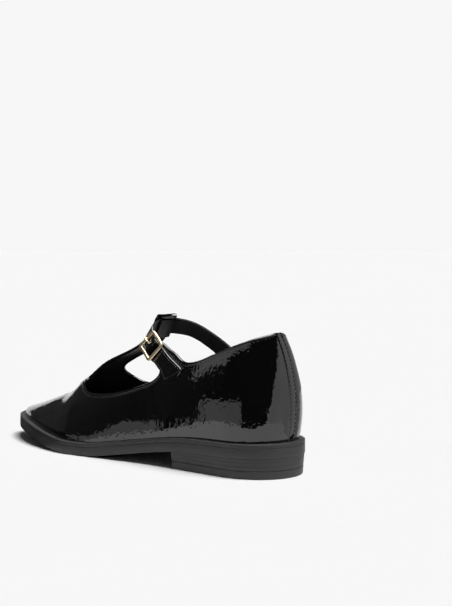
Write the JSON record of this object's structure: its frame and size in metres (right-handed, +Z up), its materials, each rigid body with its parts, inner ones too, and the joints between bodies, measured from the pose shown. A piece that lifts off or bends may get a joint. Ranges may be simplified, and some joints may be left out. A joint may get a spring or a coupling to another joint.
{
  "type": "mary jane shoe",
  "caption": "Woman's left flat mary jane with a pointed toe, a T-bar, a buckled ankle strap threaded through the T-bar's loop, and a welted sole on a low heel.",
  "frame": {"origin": "middle of the shoe's outline on the ground, at the height of the heel's and the ball's contact", "axes": "+Z up, toe along -Y, outer (lateral) side of the left foot +X"},
  "size_m": [0.0851, 0.27, 0.0968],
  "materials": {
    "sole_rubber": "matt, finely lined on the heel",
    "welt_rubber": "satin, with a shallow ribbed top",
    "patent": "black crinkled patent",
    "lining": "matt black lining leather",
    "gilt": "polished pale gold plate"
  },
  "bodies": {
    "root": {"outsole": "sole_rubber", "welt": "welt_rubber", "heel_block": "sole_rubber", "heel_top_piece": "sole_rubber", "insole": "lining", "upper": "patent", "t_bar_loop": "patent", "ankle_strap": "patent", "buckle_frame": "gilt", "buckle_prong": "gilt"}
  },
  "joints": []
}
